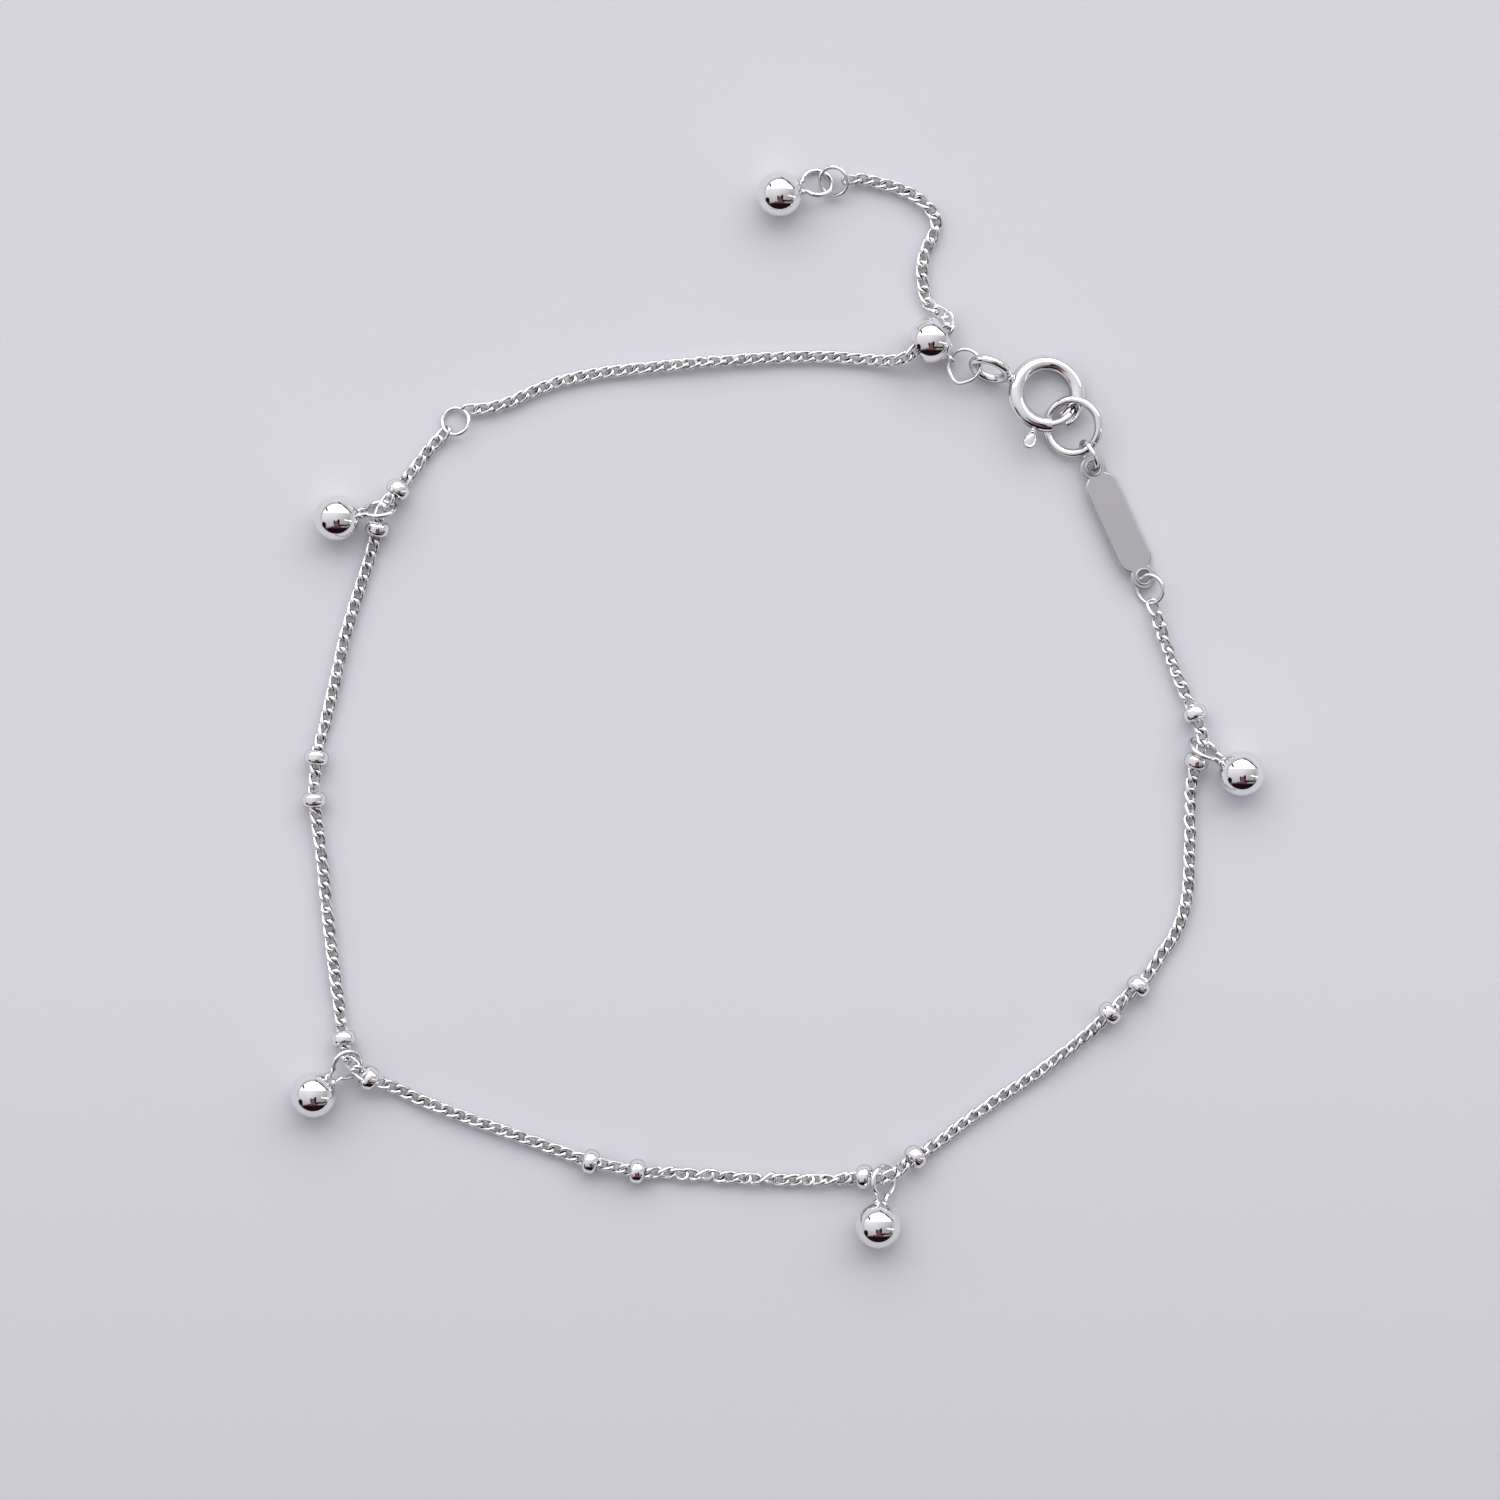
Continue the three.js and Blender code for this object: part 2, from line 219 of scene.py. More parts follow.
def add_ring(shape, radius, wire, matrix=Matrix(), steps=56, sides=16, start=0.0, end=360.0):
    """Sweeps a round wire about Z, closed all the way round or capped at both ends."""
    closed = end - start >= 360.0
    turned = Matrix.Rotation(radians(start), 4, "Z") @ Matrix.Translation((radius, 0, 0))
    section = bmesh.ops.create_circle(
        shape, segments=sides, radius=wire, cap_ends=not closed,
        matrix=matrix @ turned @ Matrix.Rotation(pi / 2, 4, "X"),
    )["verts"]
    edges = {e for v in section for e in v.link_edges}
    faces = {f for v in section for f in v.link_faces}
    before = set(shape.verts) - set(section)
    bmesh.ops.spin(
        shape, geom=section + list(edges) + list(faces), cent=matrix.translation,
        axis=matrix.to_3x3() @ Vector((0, 0, 1)), angle=radians(end - start),
        steps=steps, use_merge=closed,
    )
    made = [v for v in shape.verts if v not in before]
    bmesh.ops.recalc_face_normals(shape, faces=list({f for v in made for f in v.link_faces}))
    return made


# Its dull colour is for the flat faces, its bright one a painted highlight along the edges.
satin = silver(
    "satin_silver", (0.495, 0.49, 0.5), (0.86, 0.86, 0.87), (0.27, 0.12), 26000.0, 2.0e-6,
    turn=radians(TAG_PLACE[1]), stretch=14.0, painted_lighting=True,
)
holes = [arc(side * TAG_HOLE_X, TAG_HOLE_R, 0, 350, 35) for side in (1, -1)]
plate = flat_plate([tag_outline(), *holes], TAG_SHEET, TAG_EDGE)
for side in (1, -1):
    rim = Matrix.Translation((side * TAG_HOLE_X, 0, TAG_SHEET / 2 - EYE_RIM_SUNK))
    add_ring(plate, TAG_HOLE_R + EYE_RIM, EYE_RIM, rim, steps=40, sides=12)
# Painted highlight: bright at the edges of the sheet, dull on its flat faces.
painted_lighting = plate.verts.layers.float.new("painted_lighting")
for corner in plate.verts:
    corner[painted_lighting] = max(0.0, 1 - abs(corner.co.z) * 2 / TAG_SHEET)
tag = finished(plate, "tag_plate", lying(*TAG_PLACE), satin, "tag")
for face in tag.data.polygons:
    face.use_smooth = len(face.vertices) == 4 and face.area < SMALL_FACE


# --- Jump rings ------------------------------------------------------------------------
# Round silver wire bent into rings. Each is closed end to end and the joint shows as a fine
# line. They link the tag, the end ring, the slider, the slide chain and the tail charm.
JUMP_RINGS = {
    "tag_ring_low": (0.95, 0.135, (24.48, 7.68, 0.64), 202, 32),
    "tag_ring_high": (0.99, 0.15, (20.45, 16.44, 1.1), 205, 75),
    "extender_ring": (0.9, 0.14, (-21.16, 18.72, 0.5), 135, 18),
    "slider_ring": (1.08, 0.13, (12.27, 22.36, 0.92), 163, 15),
    "tail_ring": (0.96, 0.14, (3.7, 34.48, 0.82), -135, 28),
    "end_ring": (1.76, 0.275, (19.39, 18.36, 0.86), 198, 16.6),
}
RING_JOINTS = {
    "tag_ring_low": 60, "tag_ring_high": 100, "extender_ring": 150, "slider_ring": 247,
    "tail_ring": 70, "end_ring": 325,
}
JOINT_GAP = 1.6
PINCHED = {"slider_ring": 0.15}
PINCH_FROM = 0.8


def leaning(position, heading, dip):
    """A flat piece that goes down along the heading and isn't turned in plan."""
    axis = Vector((-sin(radians(heading)), cos(radians(heading)), 0))
    return Matrix.Scale(MM, 4) @ Matrix.Translation(position) @ Matrix.Rotation(radians(dip), 4, axis)


# Dark colour: painted shade on the wire's sides; bright: painted light where it faces up or down.
wire_silver = silver(
    "wire_silver", (0.11, 0.107, 0.11), (0.91, 0.91, 0.915), (0.12, 0.05), 22000.0, 1.0e-6,
    painted_lighting=True,
)
for name, (radius, wire, *place) in JUMP_RINGS.items():
    shape = bmesh.new()
    joint = RING_JOINTS[name]
    add_ring(shape, radius, wire, steps=72, start=joint + JOINT_GAP, end=joint + 360 - JOINT_GAP)
    out = Vector((cos(radians(joint)), sin(radians(joint)), 0))
    for corner in shape.verts:
        near = max(0.0, corner.co.normalized().dot(out) - PINCH_FROM) / (1 - PINCH_FROM)
        corner.co += PINCHED.get(name, 0.0) * near * near * out
    finished(shape, name + "_wire", leaning(*place), wire_silver, name)


# --- Chain -------------------------------------------------------------------------------
# Fine curb chain. Every link is an oval of round silver wire, twisted about its length so
# that the chain lies flat. It rolls over as it lies.
LINK_WIRE = 0.165
LINK_DEEP = 1.1
LINK_TWIST = 50
LINK_HALF_WIDTH = 0.36
LINK_HALF_LENGTH = 0.58
LINK_PITCH = 0.83
WIRE_SWELL = 1.22
OVAL_SWELL = 1.035
ON_SURFACE = 0.45
LEAST_GAP = 0.02
CLIMB = 0.35
SLOW_ROLL = 60
QUICK_ROLL = 18
LINK_ROLL = 7
LINK_SWAY = 3
LOOSE = {"chain_1": 2.5, "chain_4": 3.0, "tail_chain_1": 1.5, "tail_chain_2": 2.5}
LOOP_ROUTE = {
    "chain_1": [[24.7, 6.42], [25.15, 5.3], [25.72, 3.6], [26.38, 1.8], [26.98, 0.42, 0.62]],
    "beads_1": [[27.42, -0.52, 0.83], [27.7, -1.3, 0.96], [27.88, -2, 1.1], [27.84, -2.75, 1.06],
                [27.52, -3.62, 0.88]],
    "chain_2": [[27.32, -4.6, 0.68], [27.18, -5.4, 0.5], [27.12, -7], [27.08, -9.5], [27.0, -11.8],
                [26.72, -13.4], [26.1, -15], [25.2, -16.35], [24.5, -17.45, 0.6]],
    "beads_2": [[23.72, -18.4, 0.83], [23.1, -18.95, 0.78], [22.5, -19.5, 0.78], [21.85, -20.16, 0.83]],
    "chain_3": [[21.05, -20.95, 0.62], [20.3, -21.62], [18.7, -22.9], [16.6, -24.45], [14.3, -25.95],
                [12, -27.6], [10.35, -28.83, 0.55]],
    "beads_3": [[9.05, -29.62, 0.9], [8.3, -30.18, 1.18], [7.55, -30.74, 1.32], [6.7, -31.05, 1.12],
                [5.72, -30.92, 0.85]],
    "chain_4": [[4.75, -31.05, 0.55], [3.8, -31.1], [1, -31.15], [-2, -31.05], [-5, -30.82],
                [-7.2, -30.7], [-8.2, -30.66, 0.6]],
    "beads_4": [[-9.25, -30.56, 0.83], [-10.2, -30.38, 0.76], [-11.3, -30.14, 0.76], [-12.28, -29.92, 0.83]],
    "chain_5": [[-13.3, -29.62, 0.58], [-14.2, -29.3], [-17, -28.28], [-20, -27.22], [-23, -26.08],
                [-25, -25.16, 0.5], [-25.74, -24.86, 0.65]],
    "beads_5": [[-26.86, -24.42, 1.12], [-27.4, -24.04, 1.44], [-27.9, -23.5, 1.34],
                [-28.26, -22.96, 1.02], [-28.5, -21.88, 0.84]],
    "chain_6": [[-28.66, -20.9, 0.6], [-28.78, -20], [-29.06, -18], [-29.44, -15], [-29.76, -12],
                [-30.02, -9.5], [-30.28, -7.6, 0.58]],
    "beads_6": [[-30.45, -6.16, 0.83], [-30.42, -4.8, 0.7], [-30.28, -3.4, 0.83]],
    "chain_7": [[-30.08, -2.3, 0.58], [-29.82, -1.4], [-29.2, 1.2], [-28.4, 4.7], [-27.45, 7.8],
                [-26.82, 9.75, 0.5], [-26.6, 10.55, 0.6]],
    "beads_7": [[-26.28, 11.68, 0.86], [-26.16, 12.35, 1.04], [-25.96, 12.95, 1.18],
                [-25.56, 13.55, 1.14], [-24.92, 14.2, 0.95]],
    "chain_8": [[-24.2, 15.2, 0.62], [-23.6, 15.95, 0.48], [-22.8, 17], [-21.98, 17.86]],
}
SLIDE_ROUTE = {
    "slide_chain": [[-20.14, 19.52], [-19, 19.62], [-17.6, 20], [-15, 21.12], [-12, 21.85], [-8, 22.3],
                    [-4, 22.68], [0, 22.92], [3, 22.98], [5.6, 22.8, 0.48], [7.3, 22.68, 0.74],
                    [8.28, 22.84, 1.12]],
    "slider_chain": [[8.85, 23.18, 1.4], [9.3, 23.52, 1.5], [10.05, 24, 1.5], [10.9, 24.51, 1.5],
                     [11.17, 24.82, 1.4], [11.22, 25.25, 1.16], [11.04, 25.64, 0.9]],
    "tail_chain_1": [[10.32, 26.1, 0.6], [9.88, 26.55, 0.46], [9.64, 27.3], [9.5, 28.4], [9.52, 29.2],
                     [9.8, 30.1], [10.2, 30.9]],
    "tail_chain_2": [[10.42, 31.7], [10.15, 32.5], [9.55, 33.12], [8.6, 33.76], [7.4, 34.22],
                     [6.3, 34.5], [5.5, 34.66], [4.9, 34.6]],
}


def link_shape():
    """One link: a ring drawn out into an oval, then twisted about its length. It is made a
    little full, because subdividing draws it in."""
    shape = bmesh.new()
    wire = LINK_WIRE * WIRE_SWELL
    add_ring(shape, LINK_HALF_WIDTH * OVAL_SWELL, wire, steps=12, sides=5, start=15, end=375)
    for corner in shape.verts:
        corner.co.z *= LINK_DEEP
        corner.co.x += copysign(LINK_HALF_LENGTH - LINK_HALF_WIDTH, corner.co.x)
        twist = -radians(LINK_TWIST) * corner.co.x / LINK_HALF_LENGTH
        corner.co = Matrix.Rotation(twist, 3, "X") @ corner.co
    mesh = bpy.data.meshes.new("link")
    shape.to_mesh(mesh)
    shape.free()
    return mesh


def smooth_line(points, samples=12):
    """A Catmull-Rom line through the points, each sample with the index of its stretch."""
    ends = [2 * points[0] - points[1], *points, 2 * points[-1] - points[-2]]
    line = []
    for index in range(len(points) - 1):
        a, b, c, d = ends[index:index + 4]
        for step in range(samples):
            t = step / samples
            line.append((index, 0.5 * (
                2 * b + (c - a) * t + (2 * a - 5 * b + 4 * c - d) * t * t
                + (3 * b - a - 3 * c + d) * t ** 3
            )))
    line.append((len(points) - 1, points[-1]))
    return line


def chain_places(route, pitch):
    """Where each link of a route sits: the stretch it belongs to, its middle and its heading."""
    owners = [name for name, points in route.items() for _ in points]
    points = [Vector((*p, ON_SURFACE)[:3]) for stretch in route.values() for p in stretch]
    line = smooth_line(points)
    reach = [0.0]
    for (_, a), (_, b) in zip(line, line[1:]):
        reach.append(reach[-1] + (b - a).length)
    count = round(reach[-1] / pitch)
    spacing = reach[-1] / count
    places = []
    at = 0
    for number in range(count + 1):
        wanted = min(number * spacing, reach[-1] - 1e-6)
        while reach[at + 1] < wanted:
            at += 1
        part = (wanted - reach[at]) / (reach[at + 1] - reach[at])
        (index, a), (_, b) = line[at], line[at + 1]
        places.append((owners[index], a.lerp(b, part), (b - a).normalized(), wanted))
    return places


def roll_at(distance, seed):
    """The chain's slow roll as it lies, in radians, from nearly flat to nearly on edge."""
    slow = noise.noise((distance * 0.11, seed, 0.0))
    quick = noise.noise((distance * 0.6, seed, 7.0))
    return radians(SLOW_ROLL * slow + QUICK_ROLL * quick)


# Dark colour: painted shade on the links' sides; bright: painted light where they face up or down.
chain_silver = silver(
    "chain_silver", (0.08, 0.081, 0.08), (0.93, 0.935, 0.935), (0.12, 0.05), 24000.0, 1.0e-6,
    painted_lighting=True,
)
link = link_shape()
link_size = len(link.vertices)
jitter = Random(5)
for seed, route in enumerate((LOOP_ROUTE, SLIDE_ROUTE)):
    shapes = {name: bmesh.new() for name in route}
    for owner, middle, heading, distance in chain_places(route, LINK_PITCH):
        loose = LOOSE.get(owner, 1.0)
        roll = roll_at(distance, seed * 3.7) + radians(jitter.gauss(0, LINK_ROLL * loose))
        sway = Matrix.Rotation(radians(jitter.gauss(0, LINK_SWAY * loose)), 4, "Z")
        left = Vector((0, 0, 1)).cross(heading).normalized()
        frame_axes = Matrix((heading, left, heading.cross(left))).transposed().to_4x4()
        turn = frame_axes @ sway @ Matrix.Rotation(roll, 4, "X")
        lowest = min((turn @ corner.co).z for corner in link.vertices)
        lying_height = LEAST_GAP - lowest / OVAL_SWELL
        lifted = min(1.0, max(0.0, (middle.z - ON_SURFACE) / CLIMB))
        middle = Vector((middle.x, middle.y, lying_height + (middle.z - lying_height) * lifted))
        shape = shapes[owner]
        shape.from_mesh(link)
        shape.verts.ensure_lookup_table()
        bmesh.ops.transform(
            shape, matrix=Matrix.Translation(middle) @ turn, verts=shape.verts[-link_size:]
        )
    for name, shape in shapes.items():
        links = finished(
            shape, name + "_links", Matrix.Scale(MM, 4), chain_silver, name, sharp=None
        )
        smoother = links.modifiers.new("smoother", "SUBSURF")
        smoother.levels = smoother.render_levels = 1


# --- Bead pairs ---------------------------------------------------------------------------
# Small polished silver rondelles in pairs. Each is a bored ring with a full round outside,
# a little like a barrel, threaded on the chain.
BEAD_R = 0.82
BEAD_DEPTH = 0.54
BEAD_FULLNESS = 2.9
BEAD_HALF = 0.48
BEAD_BORE = 0.4
BEAD_EDGE = 0.04
BEAD_POINTS = {"beads_2": (0, 3), "beads_4": (0, 3), "beads_6": (0, 2)}


def add_bored_ball(shape, radius, depth, half, bore, edge, steps, matrix=Matrix(), fullness=2.0):
    """A ball squeezed along its own X, with a bore along X and its ends cut flat. A fullness
    over 2 makes it more like a barrel."""
    power = 2 / fullness
    tip = asin((half / depth) ** (1 / power))
    turns = [tip * (2 * i / 24 - 1) for i in range(25)]
    outside = [(copysign(depth * abs(sin(a)) ** power, a), radius * cos(a) ** power) for a in turns]
    start = [(edge - half, bore), (-half, bore + edge)]
    profile = start + outside + [(-x, r) for x, r in reversed(start)]
    corners = [shape.verts.new((x, 0, r)) for x, r in profile]
    edges = [shape.edges.new(pair) for pair in zip(corners, corners[1:] + corners[:1])]
    before = set(shape.verts) - set(corners)
    bmesh.ops.spin(shape, geom=corners + edges, cent=(0, 0, 0), axis=(1, 0, 0),
                   angle=2 * pi, steps=steps, use_merge=True)
    made = [v for v in shape.verts if v not in before]
    bmesh.ops.recalc_face_normals(shape, faces=list({f for v in made for f in v.link_faces}))
    bmesh.ops.transform(shape, matrix=matrix, verts=made)


# Dull colour: painted shade on the beads' sides; bright: painted light where they face up or down.
bead_silver = silver(
    "bead_silver", (0.5, 0.49, 0.5), (0.93, 0.93, 0.935), (0.05, 0.03), 16000.0, 0.8e-6, painted_lighting=True
)
pairs = [name for name in LOOP_ROUTE if name.startswith("beads")]
order = [Vector((*p, ON_SURFACE)[:3]) for stretch in LOOP_ROUTE.values() for p in stretch]
for name in pairs:
    points = [Vector(p) for p in LOOP_ROUTE[name]]
    shape = bmesh.new()
    for index in BEAD_POINTS.get(name, (0, 4)):
        at = order.index(points[index])
        along = (order[at + 1] - order[at - 1]).normalized()
        turn = along.to_track_quat("X", "Z").to_matrix().to_4x4()
        place = Matrix.Translation(points[index]) @ turn
        add_bored_ball(
            shape, BEAD_R, BEAD_DEPTH, BEAD_HALF, BEAD_BORE, BEAD_EDGE, 44, place, BEAD_FULLNESS
        )
    finished(shape, name + "_rondelles", Matrix.Scale(MM, 4), bead_silver, name)


# --- Charms -------------------------------------------------------------------------------
# A polished 3 mm silver ball. A loop of wire is soldered to it by both ends, each end in a
# small lump of solder, and goes round the chain between two beads, or through the tail ring.
BALL_R = 1.5
LOOP_R = 0.98
LOOP_WIRE = 0.17
LOOP_OPEN = 154
LEG_FOOT = 0.3
FOOT_DEPTH = 0.15
FOOT_SOLDER = 0.25
CHARM_REACH = 2.93
TAIL_REACH = 2.7
CHARMS = {
    "charm_1": ((-28.92, 12.34, BALL_R), 11.8, 9.5, -60),
    "charm_2": ((-30.45, -25.51, BALL_R), 41.6, 4, 36),
    "charm_3": ((6.61, -34.1, BALL_R), 83, 8, 44),
    "charm_4": ((30.45, -4.42, BALL_R), 146.4, 9.5, 59.5),
    "tail_charm": ((0.14, 33.61, BALL_R), 17.4, 17.5, -27),
}


def add_ball(shape, radius, matrix=Matrix(), columns=24, rows=16, squash=(1, 1, 1)):
    scale = Matrix.Diagonal((*squash, 1))
    return bmesh.ops.create_uvsphere(
        shape, u_segments=columns, v_segments=rows, radius=radius, matrix=matrix @ scale
    )["verts"]


def add_solder(shape, size, matrix, squash):
    """A small lump of solder, run a little uneven."""
    for corner in add_ball(shape, 1.0):
        run = 1 + 0.18 * noise.noise(corner.co * 1.7 + matrix.translation)
        corner.co = matrix @ Vector([size * run * c * s for c, s in zip(corner.co, squash)])


def charm_loop(reach):
    """The loop, with its two legs and the solder that holds them to the ball."""
    shape = bmesh.new()
    middle = Matrix.Translation((reach, 0, 0))
    add_ring(shape, LOOP_R, LOOP_WIRE, middle, steps=44, sides=14, start=-LOOP_OPEN, end=LOOP_OPEN)
    caps = [f for f in shape.faces if len(f.verts) > 4]
    for cap in caps:
        side = 1 if cap.calc_center_median().y > 0 else -1
        foot = Vector((BALL_R - FOOT_DEPTH, side * LEG_FOOT, 0))
        leg = bmesh.ops.extrude_face_region(shape, geom=[cap])
        corners = [v for v in leg["geom"] if isinstance(v, bmesh.types.BMVert)]
        bmesh.ops.translate(shape, verts=corners, vec=foot - cap.calc_center_median())
        solder = Matrix.Translation((BALL_R, side * (LEG_FOOT + 0.02), 0))
        add_solder(shape, FOOT_SOLDER, solder, (0.95, 1.1, 1.0))
    bmesh.ops.delete(shape, geom=caps, context="FACES_ONLY")
    return shape


ball_silver = silver(
    "ball_silver", (0.88, 0.88, 0.885), (0.94, 0.94, 0.945), (0.035, 0.015), 9000.0, 0.5e-6
)
for name, place in CHARMS.items():
    ball = bmesh.new()
    add_ball(ball, BALL_R, columns=80, rows=48)
    finished(ball, name + "_ball", lying(*place), ball_silver, name)
    loop = charm_loop(TAIL_REACH if name == "tail_charm" else CHARM_REACH)
    finished(loop, name + "_loop", lying(*place), wire_silver, name)


# --- Slider ---------------------------------------------------------------------------------
# A polished silver ball bored through for the chain. Its two ends are cut flat round the
# bore, and a small wire eyelet is soldered to its side for the slider ring.
SLIDER_R = 1.5
SLIDER_FLAT = 1.05
SLIDER_BORE = 0.62
SLIDER_HEADING = 31
SLIDER_MIDDLE = (10.05, 24, SLIDER_R)
EYELET_HEADING = -42
EYELET_DIP = 26
EYELET_R = 0.37
EYELET_WIRE = 0.13


def slider_shape():
    shape = bmesh.new()
    bore = Matrix.Rotation(radians(SLIDER_HEADING), 4, "Z")
    add_bored_ball(shape, SLIDER_R, SLIDER_R, SLIDER_FLAT, SLIDER_BORE, 0.06, 72, bore)
    hang = Matrix.Rotation(radians(EYELET_HEADING), 4, "Z")
    hang = hang @ Matrix.Rotation(radians(EYELET_DIP), 4, "Y")
    eyelet = hang @ Matrix.Translation((SLIDER_R + EYELET_R + 0.06, 0, 0))
    eyelet = eyelet @ Matrix.Rotation(pi / 2, 4, "X")
    add_ring(shape, EYELET_R, EYELET_WIRE, eyelet, steps=32, sides=12)
    add_solder(shape, 0.22, hang @ Matrix.Translation((SLIDER_R, 0, 0)), (0.9, 1.0, 1.2))
    return shape


slider_place = Matrix.Scale(MM, 4) @ Matrix.Translation(SLIDER_MIDDLE)
finished(slider_shape(), "slider_ball", slider_place, ball_silver, "slider")


# --- Clasp body -----------------------------------------------------------------------------
# A spring ring clasp: a C of thin silver tube. The lug's slot is cut in its outside, and past
# the gap it is cut open to a leaf-shaped trough. A wire tab ring is soldered to its back.
CLASP_PLACE = ((17.7, 20.51, 0.97), 38, 11.8)
CLASP_R = 2.04
CLASP_TUBE = 0.52
CLASP_WALL = 0.17
TROUGH_MOUTH = -57
TUBE_END = 276
SLOT = (183, 255)
SLOT_HALF = 0.2
TROUGH_LOW = Vector((1.11, -1.71, -0.14))
TROUGH_HIGH = Vector((1.9, -0.8, 0.5))
TROUGH_TOP = -12
TAB_AT = 157.4
TAB_R = 1.15
TAB_WIRE = 0.3
TAB_RAISED = -75


def around(point):
    """The angle of a point about the clasp's middle, from the trough's mouth on."""
    angle = Vector((1, 0)).angle_signed(Vector(point[:2]), 0.0)
    degrees = -angle * 180 / pi
    return degrees if degrees >= TROUGH_MOUTH - 1 else degrees + 360


def clasp_tube():
    """The tube. Its inside is painted bright as a highlight, and outside it is painted light where it
    faces up or down and painted shade on its sides.
    """
    shape = bmesh.new()
    section = bmesh.ops.create_circle(
        shape, segments=32, radius=CLASP_TUBE,
        matrix=Matrix.Rotation(radians(TROUGH_MOUTH), 4, "Z") @ Matrix.Translation((CLASP_R, 0, 0))
        @ Matrix.Rotation(pi / 2, 4, "X"),
    )["verts"]
    edges = list({e for v in section for e in v.link_edges})
    bmesh.ops.spin(shape, geom=section + edges, cent=(0, 0, 0), axis=(0, 0, 1),
                   angle=radians(TUBE_END - TROUGH_MOUTH), steps=111)
    middles = {f: f.calc_center_median() for f in shape.faces}
    slot = [f for f, m in middles.items() if SLOT[0] < around(m) < SLOT[1]
            and m.xy.length > CLASP_R and abs(m.z) < SLOT_HALF]
    bmesh.ops.delete(shape, geom=slot, context="FACES")
    cut = TROUGH_HIGH - TROUGH_LOW
    up = cut.xy.to_3d().cross(Vector((0, 0, 1))).cross(cut)
    mouth = [f for f in shape.faces if around(f.calc_center_median()) < TROUGH_TOP]
    parts = list({p for f in mouth for p in [f, *f.edges, *f.verts]})
    bmesh.ops.bisect_plane(
        shape, geom=parts, plane_co=TROUGH_LOW, plane_no=up if up.z > 0 else -up, clear_outer=True
    )
    bmesh.ops.dissolve_degenerate(shape, dist=0.01, edges=shape.edges)
    bmesh.ops.recalc_face_normals(shape, faces=shape.faces)
    bmesh.ops.solidify(shape, geom=shape.faces, thickness=CLASP_WALL)
    rims = [e for e in shape.edges if e.is_manifold and e.calc_face_angle() > radians(55)]
    bmesh.ops.bevel(shape, geom=rims, offset=0.035, segments=2, affect="EDGES", profile=0.5, material=-1)
    shape.normal_update()
    # Painted light and shade: bright inside the tube and where it faces up or down, dark on its sides.
    painted_lighting = shape.verts.layers.float.new("painted_lighting")
    for corner in shape.verts:
        off = Vector((corner.co.xy.length - CLASP_R, corner.co.z)).length
        corner[painted_lighting] = 1.0 if off < CLASP_TUBE - CLASP_WALL / 2 else abs(corner.normal.z)
    return shape


def clasp_tab():
    shape = bmesh.new()
    out = CLASP_R + CLASP_TUBE
    turn = Matrix.Rotation(radians(TAB_AT), 4, "Z")
    ring = turn @ Matrix.Translation((out + TAB_R + TAB_WIRE + 0.1, 0, 0))
    ring = ring @ Matrix.Rotation(radians(TAB_RAISED), 4, "X")
    add_ring(shape, TAB_R, TAB_WIRE, ring, steps=56, sides=20)
    for reach, size in ((0.02, 0.36), (0.26, 0.3)):
        add_solder(shape, size, turn @ Matrix.Translation((out + reach, 0, 0)), (0.9, 1.1, 1.0))
    return shape


# Dull colour: painted shade on the sides of tube, tab and tongue; bright: painted light on them.
clasp_silver = silver(
    "clasp_silver", (0.2, 0.195, 0.2), (0.91, 0.91, 0.915), (0.09, 0.04), 14000.0, 1.0e-6,
    painted_lighting=True,
)
clasp_place = leaning(*CLASP_PLACE)
finished(clasp_tube(), "clasp_tube", clasp_place, clasp_silver, "clasp_body")
finished(clasp_tab(), "clasp_tab", clasp_place, clasp_silver, "clasp_body")


# --- Clasp tongue ---------------------------------------------------------------------------
# A sprung arc of silver wire that slides in the clasp's tube and closes it. Its end rests in
# the trough, and a flat pear-shaped lug stands out through the slot to draw it back.
TONGUE_R = 0.25
TONGUE_SPAN = (-132, -44)
LUG_AT = -110.8
NECK_SIZE = (0.8, 0.32, 0.22)
NECK_MIDDLE = CLASP_R + 0.4
LUG_MIDDLE = 3.28
LUG_HALF_LENGTH = 0.66
LUG_HALF_WIDTH = 0.4
LUG_WEB = 0.1
LUG_RIM = 0.2


def clasp_tongue():
    """The arc with its round ends, and the lug on its neck: a web with a round rim, both drawn
    out from a disc of radius 1."""
    shape = bmesh.new()
    add_ring(shape, CLASP_R, TONGUE_R, steps=30, sides=16, start=TONGUE_SPAN[0], end=TONGUE_SPAN[1])
    for angle in TONGUE_SPAN:
        turn = Matrix.Rotation(radians(angle), 4, "Z") @ Matrix.Translation((CLASP_R, 0, 0))
        add_ball(shape, TONGUE_R, turn, columns=16, rows=12)
    turn = Matrix.Rotation(radians(LUG_AT), 4, "Z")
    neck = bmesh.ops.create_cube(shape, size=1.0)["verts"]
    place = turn @ Matrix.Translation((NECK_MIDDLE, 0, 0)) @ Matrix.Diagonal((*NECK_SIZE, 1))
    bmesh.ops.transform(shape, matrix=place, verts=neck)
    sharp = list({e for v in neck for e in v.link_edges})
    bmesh.ops.bevel(
        shape, geom=sharp, offset=0.08, segments=3, affect="EDGES", profile=0.5, material=-1
    )
    lug = add_ball(shape, 1 - LUG_RIM / 2, columns=32, rows=12, squash=(1, 1, LUG_WEB))
    lug += add_ring(shape, 1 - LUG_RIM, LUG_RIM, steps=44, sides=14)
    for corner in lug:
        wide = LUG_HALF_WIDTH * (1 + 0.22 * corner.co.x)
        corner.co = (LUG_MIDDLE + LUG_HALF_LENGTH * corner.co.x, wide * corner.co.y, corner.co.z)
    bmesh.ops.transform(shape, matrix=turn, verts=lug)
    return shape


finished(
    clasp_tongue(), "clasp_tongue_lug", clasp_place, clasp_silver, "clasp_tongue"
)


